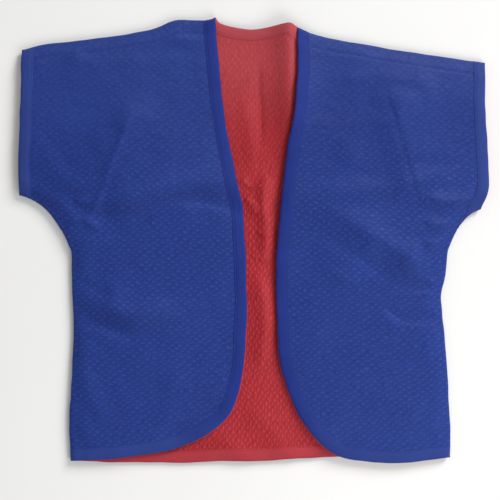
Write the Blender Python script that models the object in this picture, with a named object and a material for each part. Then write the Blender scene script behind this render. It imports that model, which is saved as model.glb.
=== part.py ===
"""Reversible short-sleeved wrestling vest, laid flat on its back with its fronts closed.

Blue cloth faces out and red cloth faces in, with a felt interlining between them. Both faces are edged with
plain tape, blue on the blue face and red on the red one. Units are metres, +Z is up and +Y runs towards the neck.
The origin is under the middle of the vest, on the surface that it lies on. Right and left are the wearer's, so
right is at -X. Run it with: blender --background --python part.py
"""

import math

import bpy
from mathutils import Vector

# Cloth and seams
CLOTH = 0.0018  # thickness of the woven cloth and of the edging tape
FELT = 0.0012  # thickness of the interlining
PLY_GAP = 0.0003  # air between two plies that lie on each other
TORSO_SPACE = 0.0080  # height of the space between the back and the fronts
BAND = 0.018  # width of the edging tape
SEAM_TAPE = 0.006  # width of the stay tape in each closed seam
THREAD_WIDTH = 0.0008
THREAD_HEIGHT = 0.0005
SHOULDER_STITCH = 0.020  # distance of the shoulder topstitch from the shoulder line
FELT_MARGIN = 0.004  # the interlining stops this far inside the finished edge
FOLD_GAP = 0.0006  # half the slot along each front's fold line
FOLD_RISE = 0.0003  # height of the fold's axis above the topstitching
SPACING = 0.022  # distance between points along a straight stretch of an outline
CURVE_SPACING = 0.012  # the same along a tightly curved stretch
STRAIGHT_TURN = math.radians(6)  # a vertex that turns less than this is left out

# Heights of the plies, from the surface up
BACK_SHELL_Z = 0.0
BACK_FELT_Z = BACK_SHELL_Z + CLOTH + PLY_GAP
BACK_LINING_Z = BACK_FELT_Z + FELT + PLY_GAP
BACK_TOP_Z = BACK_LINING_Z + CLOTH
FRONT_LINING_Z = BACK_TOP_Z + TORSO_SPACE
FRONT_FELT_Z = FRONT_LINING_Z + CLOTH + PLY_GAP
FRONT_SHELL_Z = FRONT_FELT_Z + FELT + PLY_GAP
FRONT_TOP_Z = FRONT_SHELL_Z + CLOTH
FOLD_AXIS_Z = FRONT_TOP_Z + PLY_GAP + THREAD_HEIGHT + FOLD_RISE

# The outline of each half as it lies. Every path is a smooth curve through its points.
RIGHT = {
    "shoulder": [(-0.0575, 0.335), (-0.070, 0.331), (-0.115, 0.331), (-0.151, 0.318), (-0.215, 0.307),
                 (-0.309, 0.296), (-0.348, 0.287)],
    "cuff": [(-0.348, 0.287), (-0.350, 0.226), (-0.353, 0.070)],
    "underarm": [(-0.353, 0.070), (-0.331, 0.060), (-0.309, 0.043), (-0.289, 0.013), (-0.276, -0.015)],
    "side": [(-0.276, -0.015), (-0.274, -0.072), (-0.271, -0.135), (-0.274, -0.194), (-0.277, -0.278),
             (-0.275, -0.332)],
    "front": [(-0.0575, 0.335), (-0.049, 0.236), (-0.036, 0.138), (-0.016, 0.049), (-0.010, -0.060),
              (-0.011, -0.135), (-0.020, -0.221), (-0.050, -0.276), (-0.110, -0.310), (-0.194, -0.326),
              (-0.275, -0.332)],
}
LEFT = {
    "shoulder": [(0.067, 0.318), (0.102, 0.308), (0.160, 0.297), (0.234, 0.284), (0.347, 0.267)],
    "cuff": [(0.347, 0.267), (0.348, 0.183), (0.353, 0.095), (0.351, 0.072), (0.343, 0.049)],
    "underarm": [(0.343, 0.049), (0.325, 0.037), (0.312, 0.023), (0.303, 0.008), (0.294, -0.015)],
    "side": [(0.294, -0.015), (0.289, -0.050), (0.283, -0.080), (0.287, -0.120), (0.292, -0.200),
             (0.297, -0.290), (0.297, -0.326)],
    "front": [(0.067, 0.318), (0.067, 0.259), (0.059, 0.180), (0.044, 0.085), (0.035, -0.015),
              (0.034, -0.110), (0.040, -0.187), (0.062, -0.250), (0.091, -0.293), (0.133, -0.326),
              (0.210, -0.334), (0.297, -0.326)],
}
BACK_NECK = [(-0.0575, 0.335), (-0.047, 0.325), (-0.006, 0.317), (0.031, 0.322), (0.055, 0.325), (0.067, 0.318)]
BACK_HEM = [(-0.275, -0.332), (-0.141, -0.335), (-0.005, -0.332), (0.124, -0.326), (0.297, -0.326)]

MATERIALS = {
    "blue_cloth": ((0.028, 0.058, 0.260), 0.85),
    "blue_tape": ((0.026, 0.060, 0.300), 0.80),
    "red_cloth": ((0.420, 0.030, 0.040), 0.85),
    "red_tape": ((0.440, 0.036, 0.050), 0.80),
    "felt": ((0.620, 0.600, 0.540), 0.95),
    "seam_tape": ((0.030, 0.060, 0.240), 0.80),
    "blue_thread": ((0.016, 0.036, 0.220), 0.60),
    "red_thread": ((0.300, 0.018, 0.028), 0.60),
}


def clear_scene():
    for obj in list(bpy.data.objects):
        bpy.data.objects.remove(obj)


def make_materials():
    """One Principled material for each cloth, tape and thread."""
    made = {}
    for name, (colour, roughness) in MATERIALS.items():
        material = bpy.data.materials.new(name)
        material.use_nodes = True
        shader = material.node_tree.nodes["Principled BSDF"]
        shader.inputs["Base Color"].default_value = (*colour, 1)
        shader.inputs["Roughness"].default_value = roughness
        shader.inputs["Metallic"].default_value = 0.0
        made[name] = material
    return made


def catmull_rom(p0, p1, p2, p3, t):
    """A point between p1 and p2 on the smooth curve through all four."""
    return 0.5 * (
        2 * p1 + (p2 - p0) * t + (2 * p0 - 5 * p1 + 4 * p2 - p3) * t**2 + (3 * p1 - p0 - 3 * p2 + p3) * t**3
    )


def thinned(path):
    """The path without the vertices where it runs almost straight on, as long as no gap passes SPACING."""
    kept = [path[0]]
    for point, following in zip(path[1:-1], path[2:]):
        turn = (point - kept[-1]).angle(following - point)
        if turn > STRAIGHT_TURN or (following - kept[-1]).length > 2 * SPACING:
            kept.append(point)
    return kept + [path[-1]]


def smooth(points):
    """A smooth path through the given points, with its ends on the first and the last of them."""
    nodes = [Vector(p) for p in points]
    nodes = [2 * nodes[0] - nodes[1]] + nodes + [2 * nodes[-1] - nodes[-2]]
    path = []
    for p0, p1, p2, p3 in zip(nodes, nodes[1:], nodes[2:], nodes[3:]):
        steps = max(1, round((p2 - p1).length / CURVE_SPACING))
        path += [catmull_rom(p0, p1, p2, p3, i / steps) for i in range(steps)]
    return thinned(path + [nodes[-2]])


def offset(path, distance):
    """The path moved sideways: to its left for a positive distance, to its right for a negative one."""
    moved = []
    for i, point in enumerate(path):
        along = (path[min(i + 1, len(path) - 1)] - path[max(i - 1, 0)]).normalized()
        moved.append(point + distance * Vector((-along.y, along.x)))
    return moved


def trimmed(path, start=0.0, end=0.0):
    """The path without that length at its start and at its end."""
    for cut in (start, end):
        while cut > 0 and (path[1] - path[0]).length <= cut:
            cut -= (path[1] - path[0]).length
            path = path[1:]
        if cut > 0:
            path = [path[0] + (path[1] - path[0]).normalized() * cut] + path[1:]
        path = path[::-1]
    return path


def clipped(outline, place, inward):
    """The part of an outline on the inward side of a straight line through place."""
    kept = []
    for a, b in zip(outline, outline[1:] + outline[:1]):
        side_a, side_b = (a - place).dot(inward), (b - place).dot(inward)
        if side_a >= 0:
            kept.append(a)
        if side_a * side_b < 0:
            kept.append(a + (b - a) * (side_a / (side_a - side_b)))
    return kept


def plate(name, outline, low, thickness, material, collection, hinge=None):
    """A flat ply: the outline, filled and as thick as the cloth, with its underside at the height low. A ply
    that opens with a flap hangs on the flap's hinge."""
    curve = bpy.data.curves.new(name, "CURVE")
    curve.dimensions = "2D"
    curve.fill_mode = "BOTH"
    curve.extrude = thickness / 2
    spline = curve.splines.new("POLY")
    spline.points.add(len(outline) - 1)
    for point, place in zip(spline.points, outline):
        point.co = (place.x, place.y, 0, 1)
    spline.use_cyclic_u = True
    curve.materials.append(material)
    obj = bpy.data.objects.new(name, curve)
    obj.location.z = low + thickness / 2
    if hinge:
        obj.parent = hinge
        obj.location -= hinge.location
    collection.objects.link(obj)
    return obj


def fold_hinge(side, neck, corner, collection):
    """An empty in the middle of a front's fold line, just above the cloth."""
    hinge = bpy.data.objects.new(f"fold_{side}", None)
    middle = (neck + corner) / 2
    hinge.location = (middle.x, middle.y, FOLD_AXIS_Z)
    collection.objects.link(hinge)
    return hinge


def strip_outline(path, width):
    """The outline of a strip between a path and the same path moved sideways by the width."""
    return path + offset(path, width)[::-1]


def half_paths(half):
    return {name: smooth(points) for name, points in half.items()}


def build_half(side, paths, toward_panel, materials, collection):
    """One front, with the tapes and threads that go with it. toward_panel is 1 where the panel is to the left
    of its front edge and to the right of its other edges, as they run, and -1 where it is the other way about."""
    shoulder, cuff, underarm = paths["shoulder"], paths["cuff"], paths["underarm"]
    side_edge, front_edge = paths["side"], paths["front"]
    inward = toward_panel * BAND
    edge_gap = toward_panel * (BAND + PLY_GAP)
    neck, corner = front_edge[0], front_edge[-1]

    # The fold line runs from the neck to the hem's outer corner. The flap is on its opening side.
    along = (corner - neck).normalized()
    to_flap = Vector((-along.y, along.x)) * toward_panel * -1
    fixed_start = neck - to_flap * FOLD_GAP
    flap_start = neck + to_flap * FOLD_GAP

    outer = trimmed(shoulder, 0, BAND + PLY_GAP)
    sleeve_end = offset(cuff, -edge_gap)
    armpit = trimmed(underarm, BAND + PLY_GAP, 0)
    whole_front = outer + sleeve_end + armpit + side_edge[1:] + front_edge[::-1][1:-1]
    inner_edge = offset(front_edge, edge_gap)
    open_front = (
        trimmed(shoulder, BAND + PLY_GAP, BAND + PLY_GAP) + sleeve_end + armpit
        + trimmed(side_edge, 0, BAND + PLY_GAP)[1:] + inner_edge[::-1]
    )
    side_panel = clipped(whole_front, fixed_start, -to_flap)
    flap_panel = clipped(open_front, flap_start, to_flap)
    band = clipped(strip_outline(front_edge, inward), flap_start, to_flap)
    felt_in = toward_panel * FELT_MARGIN
    felt_front = (
        trimmed(shoulder, FELT_MARGIN, FELT_MARGIN) + offset(cuff, -felt_in)
        + trimmed(underarm, FELT_MARGIN, 0) + trimmed(side_edge, 0, FELT_MARGIN)[1:]
        + trimmed(offset(front_edge, felt_in), 2 * FELT_MARGIN, 2 * FELT_MARGIN)[::-1]
    )
    side_felt = clipped(felt_front, fixed_start, -to_flap)
    flap_felt = clipped(felt_front, flap_start, to_flap)

    hinge = fold_hinge(side, neck, corner, collection)
    cuff_band = strip_outline(cuff, -inward)
    plies = (
        ("lining", "red_cloth", "red_tape", "red", FRONT_LINING_Z),
        ("shell", "blue_cloth", "blue_tape", "blue", FRONT_SHELL_Z),
    )
    for ply, cloth, tape, colour, low in plies:
        plate(f"{ply}_front_side_{side}", side_panel, low, CLOTH, materials[cloth], collection)
        plate(f"{ply}_front_flap_{side}", flap_panel, low, CLOTH, materials[cloth], collection, hinge)
        plate(f"{colour}_front_band_{side}", band, low, CLOTH, materials[tape], collection, hinge)
        plate(f"{colour}_cuff_front_{side}", cuff_band, low, CLOTH, materials[tape], collection)
    felt = materials["felt"]
    plate(f"interlining_front_side_{side}", side_felt, FRONT_FELT_Z, FELT, felt, collection)
    plate(f"interlining_front_flap_{side}", flap_felt, FRONT_FELT_Z, FELT, felt, collection, hinge)

    # The stay tapes stand in the closed seams, between the back and the front.
    tape_low = BACK_TOP_Z + PLY_GAP
    tape_height = TORSO_SPACE - 2 * PLY_GAP
    tape_in = toward_panel * SEAM_TAPE
    seams = (
        ("shoulder", trimmed(shoulder, 0, BAND), -tape_in),
        ("underarm", trimmed(underarm, 0, SEAM_TAPE), -tape_in),
        ("side", side_edge, -tape_in),
    )
    for seam, path, width in seams:
        outline = strip_outline(path, width)
        plate(f"{seam}_tape_{side}", outline, tape_low, tape_height, materials["seam_tape"], collection)

    # The upper threads lie on the blue face, just inside each tape's inner edge.
    thread_low = FRONT_TOP_Z + PLY_GAP
    thread_in = toward_panel * THREAD_WIDTH
    front_thread = clipped(strip_outline(offset(front_edge, inward - 2 * thread_in), thread_in), flap_start, to_flap)
    cuff_thread = strip_outline(offset(cuff, -inward + 2 * thread_in), -thread_in)
    shoulder_line = offset(trimmed(shoulder, SHOULDER_STITCH, BAND), -toward_panel * SHOULDER_STITCH)
    shoulder_thread = clipped(strip_outline(shoulder_line, -thread_in), fixed_start, -to_flap)
    threads = (("front", front_thread, hinge), ("cuff", cuff_thread, None), ("shoulder", shoulder_thread, None))
    for seam, outline, parent in threads:
        name = f"{seam}_topstitch_{side}"
        plate(name, outline, thread_low, THREAD_HEIGHT, materials["blue_thread"], collection, parent)


def build_back(right, left, materials, collection):
    """The back with its neck, hem and cuff tapes. Its closed edges lie under those of the fronts."""
    neck, hem = smooth(BACK_NECK), smooth(BACK_HEM)
    cut = BAND + PLY_GAP
    panel = (
        offset(neck, -cut)
        + trimmed(left["shoulder"], cut, cut) + offset(left["cuff"], -cut)
        + trimmed(left["underarm"], cut, 0) + trimmed(left["side"], 0, cut)[1:]
        + offset(hem, cut)[::-1]
        + trimmed(right["side"], 0, cut)[::-1] + trimmed(right["underarm"], cut, 0)[::-1][1:]
        + offset(right["cuff"], cut)[::-1] + trimmed(right["shoulder"], cut, cut)[::-1]
    )
    felt = (
        offset(neck, -FELT_MARGIN)
        + trimmed(left["shoulder"], FELT_MARGIN, FELT_MARGIN) + offset(left["cuff"], -FELT_MARGIN)
        + trimmed(left["underarm"], FELT_MARGIN, 0) + trimmed(left["side"], 0, FELT_MARGIN)[1:]
        + offset(hem, FELT_MARGIN)[::-1]
        + trimmed(right["side"], 0, FELT_MARGIN)[::-1] + trimmed(right["underarm"], FELT_MARGIN, 0)[::-1][1:]
        + offset(right["cuff"], FELT_MARGIN)[::-1] + trimmed(right["shoulder"], FELT_MARGIN, FELT_MARGIN)[::-1]
    )
    plies = (
        ("shell_back", "blue_cloth", "blue_tape", "blue", BACK_SHELL_Z),
        ("lining_back", "red_cloth", "red_tape", "red", BACK_LINING_Z),
    )
    for name, cloth, tape, colour, low in plies:
        plate(name, panel, low, CLOTH, materials[cloth], collection)
        plate(f"{colour}_neck_band", strip_outline(neck, -BAND), low, CLOTH, materials[tape], collection)
        plate(f"{colour}_hem_band", strip_outline(hem, BAND), low, CLOTH, materials[tape], collection)
        for side, cuff, inward in (("right", right["cuff"], BAND), ("left", left["cuff"], -BAND)):
            outline = strip_outline(cuff, inward)
            plate(f"{colour}_cuff_back_{side}", outline, low, CLOTH, materials[tape], collection)
    plate("interlining_back", felt, BACK_FELT_Z, FELT, materials["felt"], collection)

    # The upper threads of the neck and the hem lie on the red face.
    thread_low = BACK_TOP_Z + PLY_GAP
    for name, path, inward in (("neck_topstitch", neck, -1), ("hem_topstitch", hem, 1)):
        line = offset(path, inward * (BAND - 2 * THREAD_WIDTH))
        line = trimmed(line, 2 * SEAM_TAPE, 2 * SEAM_TAPE)
        outline = strip_outline(line, inward * THREAD_WIDTH)
        plate(name, outline, thread_low, THREAD_HEIGHT, materials["red_thread"], collection)


def main():
    clear_scene()
    collection = bpy.data.collections.new("wrestling_vest")
    bpy.context.scene.collection.children.link(collection)
    materials = make_materials()
    right, left = half_paths(RIGHT), half_paths(LEFT)
    build_back(right, left, materials, collection)
    build_half("right", right, -1, materials, collection)
    build_half("left", left, 1, materials, collection)


main()
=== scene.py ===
"""The wrestling vest's looks, on the frame of its CAD model.

The vest lies on its back on a pale floor. Its back and its two fronts are each a sandwich: blue rice-grain
cloth outside, red inside and felt between them. Every surface is a height over the plane, worked out from
how far a point lies from the closed seams and the free edges, with folds laid on top. The fine creases of
the fronts come from a cloth simulation. Units are metres.
"""

import functools
import math

import bmesh
import bpy
import numpy as np
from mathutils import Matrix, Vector


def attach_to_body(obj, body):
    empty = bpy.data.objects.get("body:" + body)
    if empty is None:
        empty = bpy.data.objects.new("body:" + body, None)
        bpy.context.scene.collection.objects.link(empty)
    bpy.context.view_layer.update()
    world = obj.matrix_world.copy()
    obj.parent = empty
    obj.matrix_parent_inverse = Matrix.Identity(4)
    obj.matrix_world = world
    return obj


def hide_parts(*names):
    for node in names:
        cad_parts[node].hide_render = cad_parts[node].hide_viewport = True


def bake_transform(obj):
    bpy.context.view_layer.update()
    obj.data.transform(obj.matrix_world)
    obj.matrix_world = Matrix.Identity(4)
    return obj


# The cut, as in the CAD model. Right and left are the wearer's, so right is at -X.
RIGHT = {
    "shoulder": [(-0.0575, 0.335), (-0.070, 0.331), (-0.115, 0.331), (-0.151, 0.318), (-0.215, 0.307),
                 (-0.309, 0.296), (-0.348, 0.287)],
    "cuff": [(-0.348, 0.287), (-0.350, 0.226), (-0.353, 0.070)],
    "underarm": [(-0.353, 0.070), (-0.331, 0.060), (-0.309, 0.043), (-0.289, 0.013), (-0.276, -0.015)],
    "side": [(-0.276, -0.015), (-0.274, -0.072), (-0.271, -0.135), (-0.274, -0.194), (-0.277, -0.278),
             (-0.275, -0.332)],
    "front": [(-0.0575, 0.335), (-0.049, 0.236), (-0.036, 0.138), (-0.016, 0.049), (-0.010, -0.060),
              (-0.011, -0.135), (-0.020, -0.221), (-0.050, -0.276), (-0.110, -0.310), (-0.194, -0.326),
              (-0.275, -0.332)],
}
LEFT = {
    "shoulder": [(0.067, 0.318), (0.102, 0.308), (0.160, 0.297), (0.234, 0.284), (0.347, 0.267)],
    "cuff": [(0.347, 0.267), (0.348, 0.183), (0.353, 0.095), (0.351, 0.072), (0.343, 0.049)],
    "underarm": [(0.343, 0.049), (0.325, 0.037), (0.312, 0.023), (0.303, 0.008), (0.294, -0.015)],
    "side": [(0.294, -0.015), (0.289, -0.050), (0.283, -0.080), (0.287, -0.120), (0.292, -0.200),
             (0.297, -0.290), (0.297, -0.326)],
    "front": [(0.067, 0.318), (0.067, 0.259), (0.059, 0.180), (0.044, 0.085), (0.035, -0.015),
              (0.034, -0.110), (0.040, -0.187), (0.062, -0.250), (0.091, -0.293), (0.133, -0.326),
              (0.210, -0.334), (0.297, -0.326)],
}
BACK_NECK = [(-0.0575, 0.335), (-0.047, 0.325), (-0.006, 0.317), (0.031, 0.322), (0.055, 0.325),
             (0.067, 0.318)]
BACK_HEM = [(-0.275, -0.332), (-0.141, -0.335), (-0.005, -0.332), (0.124, -0.326), (0.297, -0.326)]

# Cloth
PLY = 0.0042  # thickness of the blue, felt and red plies together
BLUE_WEAVE = (0.0130, 0.0096, 0.00062)  # grains' distances end to end and side by side, and their height
RED_WEAVE = (0.0118, 0.0088, 0.00062)
THREAD_PITCH = 0.0016  # distance between the single threads across a grain
CELL = 0.0016  # grid of the visible cloth
FELT_CELL = 0.0040  # and of the felt
GRAIN_LONG = 1.05  # sharpness of a grain along its length
GRAIN_SHORT = 2.6  # sharpness of a grain across it
BAND = 0.018  # width of the edging
NECK_BAND = 0.0160  # and at the back of the neck
BAND_INSET = 0.0132  # the cloth ends this far under the edging
RED_SHORT = 0.0008  # the red edging of the fronts and cuffs ends this far from the closed seams
FELT_INSET = 0.005  # the felt is trimmed this far from the closed seams
FLOOR_GAP = 0.0009  # space between the cloth and the floor, which the grains of the underside fill
PEEK = 0.0016  # how far the red edging of the fronts shows past the blue one
PEEK_FROM, PEEK_TO = (0.45, 0.65), (0.17, 0.25)  # shares of the edge from the neck and from the hem
STITCH_IN = 0.0162  # distance of the edging's stitches from the edge
SHOULDER_STITCH = 0.020
THREAD = 0.00038  # radius of a stitch
SHOULDER_FLAT = 0.50  # share by which the weave is flatter over the shoulders, where it is pulled smooth
SHOULDER_FROM, SHOULDER_TO = 0.03, 0.20  # places along Y between which it gets flatter
SEAM_ROUND = 0.006  # width over which a closed seam's edge is rounded
PATH_STEP = 0.004
RING_STEP, RING_PARTS = 0.002, 40  # step beyond a strip's end, and the parts in which the end is looked for

# How the fronts stand off the back
PUFF = 0.0056  # greatest space beside a closed seam
PUFF_LENGTH = 0.028  # distance over which it opens
PUFF_STAYS, PUFF_GOES, PUFF_FADE = 0.62, 0.38, 0.07  # shares of it that stay and fade out, and over how far
SEAM_FLAT = 0.004  # a front lies on the back for this far beside a closed seam
SEAM_REACH = 0.030  # and its folds have their full height from here on
REST_SPACE = 0.0022  # space where a front lies on the back
LEAST_SPACE = 0.0010
SETTLE = 0.150  # distance from the free edge over which a front rises
EDGE_FOLDS, INNER_FOLDS = 0.55, 0.45  # share of a fold's height at the free edge, and the rest of it
EDGE_REACH = 0.045  # distance from the free edge at which a fold has its full height
SOFT_VALLEY = 0.35  # how softly a valley flattens out near the back, as a share of the space

# The simulation of the fronts
SIM_CELL = 0.008
SIM_FRAMES = 24
SIM_SPARE = 0.006  # how much wider than its outline the cloth is
SIM_APART = 0.001  # least distance between the cloth and the back
EDGE_HOLD = 0.12  # how firmly a free edge keeps its place, as a share of a seam's hold
CREASE_WIDEST = 0.050  # wider unevenness than this is left to the folds below
CREASE_SHARE = 0.6

# Folds: the line of the crest (or of the valley, where the height is negative), its height, and how far it
# falls off to the left and right of the line. The last pair is how much of the line its two ends fade over,
# as shares of its length.
FRONT_FOLDS = {
    "right": [
        # The sleeve's crease, from the shoulder to the armpit
        ([(-0.168, 0.24), (-0.184, 0.187), (-0.202, 0.145), (-0.221, 0.098), (-0.25, 0.01)],
         0.0116, 0.06, 0.046, (0.35, 0.4)),
        ([(-0.176, 0.205), (-0.2, 0.145), (-0.218, 0.098), (-0.232, 0.05)],
         0.0012, 0.005, 0.006, (0.3, 0.1)),
        # The arch across the chest
        ([(-0.226, 0.034), (-0.182, 0.058), (-0.146, 0.079), (-0.108, 0.092), (-0.05, 0.088), (0.01, 0.07)],
         0.0128, 0.048, 0.029, (0.24, 0.0)),
        ([(-0.254, -0.006), (-0.212, 0.008), (-0.174, 0.026), (-0.14, 0.048), (-0.1, 0.06), (-0.04, 0.049),
          (0.01, 0.03)], -0.0042, 0.019, 0.01, (0.25, 0.0)),
        ([(-0.17, -0.01), (-0.11, 0.024), (-0.05, 0.016), (0.01, -0.01)], 0.0044, 0.026, 0.06, (0.4, 0.0)),
        # The fold across the waist
        ([(-0.276, -0.086), (-0.23, -0.096), (-0.18, -0.11), (-0.14, -0.1), (-0.06, -0.084)],
         0.0078, 0.04, 0.025, (0.35, 0.4)),
        ([(-0.3, -0.118), (-0.23, -0.128), (-0.18, -0.146), (-0.14, -0.13), (-0.071, -0.112)],
         -0.004, 0.016, 0.01, (0.0, 0.35)),
        ([(-0.3, -0.16), (-0.22, -0.168), (-0.15, -0.186)], 0.0036, 0.02, 0.05, (0.0, 0.4)),
        ([(-0.262, -0.06), (-0.236, -0.074), (-0.205, -0.078)], -0.0016, 0.01, 0.008, (0.1, 0.4)),
        # Small creases at the armpit
        ([(-0.27, 0.062), (-0.242, 0.056), (-0.222, 0.06)], 0.0018, 0.006, 0.006, (0.2, 0.4)),
        ([(-0.284, 0.02), (-0.254, 0.03), (-0.222, 0.008)], 0.0022, 0.006, 0.006, (0.1, 0.4)),
        ([(-0.226, 0.08), (-0.236, 0.05), (-0.252, 0.022)], 0.0016, 0.006, 0.006, (0.4, 0.2)),
        ([(-0.32, 0.15), (-0.29, 0.1), (-0.258, 0.074)], 0.0014, 0.016, 0.014, (0.4, 0.2)),
        # The skirt
        ([(-0.11, -0.17), (-0.125, -0.235), (-0.115, -0.29)], 0.0034, 0.03, 0.034, (0.4, 0.3)),
        ([(-0.16, -0.296), (-0.099, -0.285), (-0.06, -0.258), (-0.032, -0.232)],
         -0.0036, 0.016, 0.008, (0.3, 0.3)),
        ([(-0.3, 0.292), (-0.23, 0.268), (-0.165, 0.28)], 0.002, 0.014, 0.02, (0.3, 0.3)),
    ],
    "left": [
        # The sleeve's crease, from the shoulder to the armpit
        ([(0.172, 0.3), (0.199, 0.236), (0.228, 0.14), (0.262, 0.0)], 0.0112, 0.06, 0.042, (0.4, 0.3)),
        ([(0.15, 0.24), (0.176, 0.17), (0.2, 0.1), (0.222, 0.04)], -0.003, 0.03, 0.04, (0.4, 0.3)),
        ([(0.192, 0.248), (0.223, 0.14), (0.248, 0.044)], -0.0009, 0.005, 0.006, (0.3, 0.1)),
        # The puff across the chest, and the valley under it
        ([(0.03, 0.06), (0.098, 0.048), (0.131, 0.034), (0.168, 0.012), (0.224, -0.018), (0.27, -0.054)],
         0.0152, 0.046, 0.044, (0.5, 0.2)),
        ([(0.07, 0.03), (0.121, -0.002), (0.168, -0.035), (0.21, -0.063), (0.276, -0.084)],
         -0.003, 0.016, 0.014, (0.5, 0.3)),
        ([(0.08, -0.02), (0.13, -0.056), (0.18, -0.088), (0.24, -0.104)],
         0.0056, 0.024, 0.055, (0.35, 0.3)),
        ([(0.187, -0.092), (0.215, -0.116), (0.239, -0.123), (0.276, -0.114)],
         -0.0032, 0.012, 0.007, (0.3, 0.1)),
        # Small creases at the waist and the armpit
        ([(0.283, -0.079), (0.25, -0.081), (0.206, -0.09)], 0.0028, 0.006, 0.005, (0.02, 0.5)),
        ([(0.283, -0.085), (0.252, -0.099), (0.222, -0.106)], 0.0024, 0.006, 0.007, (0.02, 0.5)),
        ([(0.283, -0.072), (0.262, -0.06), (0.232, -0.056)], 0.0022, 0.006, 0.006, (0.02, 0.5)),
        ([(0.33, 0.06), (0.29, 0.058), (0.252, 0.063)], 0.0036, 0.008, 0.009, (0.05, 0.3)),
        ([(0.312, 0.026), (0.282, 0.024), (0.25, 0.03)], 0.0038, 0.008, 0.008, (0.03, 0.3)),
        ([(0.3, -0.004), (0.276, -0.002), (0.25, -0.008)], 0.0032, 0.007, 0.007, (0.03, 0.3)),
        ([(0.02, -0.108), (0.06, -0.103), (0.1, -0.094)], -0.0024, 0.014, 0.005, (0.0, 0.4)),
        ([(0.02, -0.15), (0.082, -0.142), (0.14, -0.158)], 0.0026, 0.018, 0.04, (0.0, 0.4)),
        ([(0.29, -0.17), (0.22, -0.16), (0.13, -0.19)], 0.0025, 0.02, 0.036, (0.2, 0.4)),
        ([(0.28, -0.27), (0.21, -0.245), (0.15, -0.262)], 0.0028, 0.024, 0.024, (0.3, 0.3)),
        ([(0.064, 0.3), (0.063, 0.2), (0.048, 0.1), (0.04, 0.0), (0.042, -0.12)],
         0.005, 0.03, 0.026, (0.2, 0.3)),
        ([(0.09, 0.2), (0.13, 0.15), (0.165, 0.1)], 0.0036, 0.034, 0.03, (0.3, 0.3)),
    ],
}
BACK_FOLDS = [
    ([(0.024, 0.11), (0.014, 0.06), (0.019, 0.01), (0.014, -0.046)], 0.0054, 0.009, 0.01, (0.2, 0.3)),
    ([(0.008, -0.03), (0.016, -0.12), (0.008, -0.21)], 0.005, 0.012, 0.014, (0.3, 0.3)),
    ([(-0.018, 0.24), (-0.006, 0.16), (0.0, 0.09)], 0.0018, 0.014, 0.012, (0.3, 0.3)),
    ([(0.006, 0.28), (0.011, 0.2), (0.012, 0.13)], -0.0016, 0.004, 0.01, (0.3, 0.3)),
    ([(0.052, 0.34), (0.055, 0.26), (0.052, 0.18), (0.044, 0.11)], 0.012, 0.025, 0.024, (0.0, 0.4)),
    ([(-0.02, -0.24), (0.03, -0.29), (0.06, -0.34)], 0.0028, 0.018, 0.022, (0.3, 0.0)),
    ([(-0.11, -0.3), (-0.06, -0.29), (0.0, -0.345)], 0.0022, 0.018, 0.02, (0.3, 0.0)),
    ([(-0.05, 0.345), (0.005, 0.325), (0.06, 0.335)], 0.005, 0.03, 0.03, (0.0, 0.0)),
    ([(-0.014, 0.064), (-0.001, 0.053), (0.006, 0.038)], 0.0026, 0.005, 0.006, (0.2, 0.3)),
    ([(-0.022, 0.096), (-0.002, 0.08), (0.02, 0.088)], 0.0014, 0.004, 0.005, (0.3, 0.3)),
    ([(-0.014, 0.052), (0.004, 0.04), (0.026, 0.046)], 0.0012, 0.004, 0.005, (0.3, 0.3)),
    ([(0.004, 0.016), (0.018, 0.008), (0.03, 0.014)], 0.0012, 0.003, 0.004, (0.3, 0.3)),
    ([(-0.004, -0.018), (0.012, -0.028), (0.03, -0.022)], 0.0012, 0.003, 0.004, (0.3, 0.3)),
]

# Colours: the dark one and the light one, and on cloth and tape the pale one of a painted haze of reflected
# light, and how much of that haze shows
LOOKS = {
    "blue_cloth": ((0.0038, 0.018, 0.156), (0.0114, 0.044, 0.270), (0.030, 0.070, 0.280), 0.12),
    "red_cloth": ((0.260, 0.006, 0.012), (0.500, 0.026, 0.038), (0.490, 0.086, 0.102), 0.38),
    "blue_tape": ((0.003, 0.014, 0.148), (0.008, 0.032, 0.255), (0.034, 0.068, 0.260), 0.38),
    "red_tape": ((0.330, 0.018, 0.030), (0.460, 0.044, 0.060), (0.470, 0.110, 0.125), 0.30),
    "blue_thread": ((0.008, 0.020, 0.120), (0.022, 0.045, 0.230)),
    "red_thread": ((0.200, 0.010, 0.016), (0.380, 0.026, 0.036)),
    "felt": ((0.50, 0.48, 0.43), (0.74, 0.72, 0.67)),
}
PAINTED_SHEEN_Y = (0.13, 0.30)  # places along Y between which the cloth gets paler towards the neck: a painted sheen of the top light
PAINTED_HAZE_ALONG = (0.56, 0.74)  # lengths along the edging between which it gets paler towards the hem, with a painted haze of glare
PAINTED_HAZE_ALL = (-0.10, -0.05)  # before its start: an edging with a painted haze of glare from end to end

FLOOR_HALF = 3.0
LAMPS = (  # place, width, power and colour
    ("window", (3.20, 3.50, 2.65), 2.3, 300.0, (1.0, 0.99, 0.97)),
    ("side_window", (0.90, -1.30, 1.30), 1.2, 19.0, (1.0, 1.0, 1.0)),
)
CAMERA_AT = (-0.0053, -0.0144, 1.512)


# --- paths ---


def smooth(points, step=PATH_STEP):
    """A smooth path through the points, with its ends on the first and the last of them."""
    p = np.array(points, float)
    p = np.vstack([2 * p[:1] - p[1:2], p, 2 * p[-1:] - p[-2:-1]])
    runs = []
    for a, b, c, d in zip(p, p[1:], p[2:], p[3:]):
        count = max(1, round(np.linalg.norm(c - b) / step))
        t = np.arange(count)[:, None] / count
        square, cube = 2 * a - 5 * b + 4 * c - d, 3 * b - a - 3 * c + d
        runs.append(0.5 * (2 * b + (c - a) * t + square * t**2 + cube * t**3))
    return np.vstack(runs + [p[-2:-1]])


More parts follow.
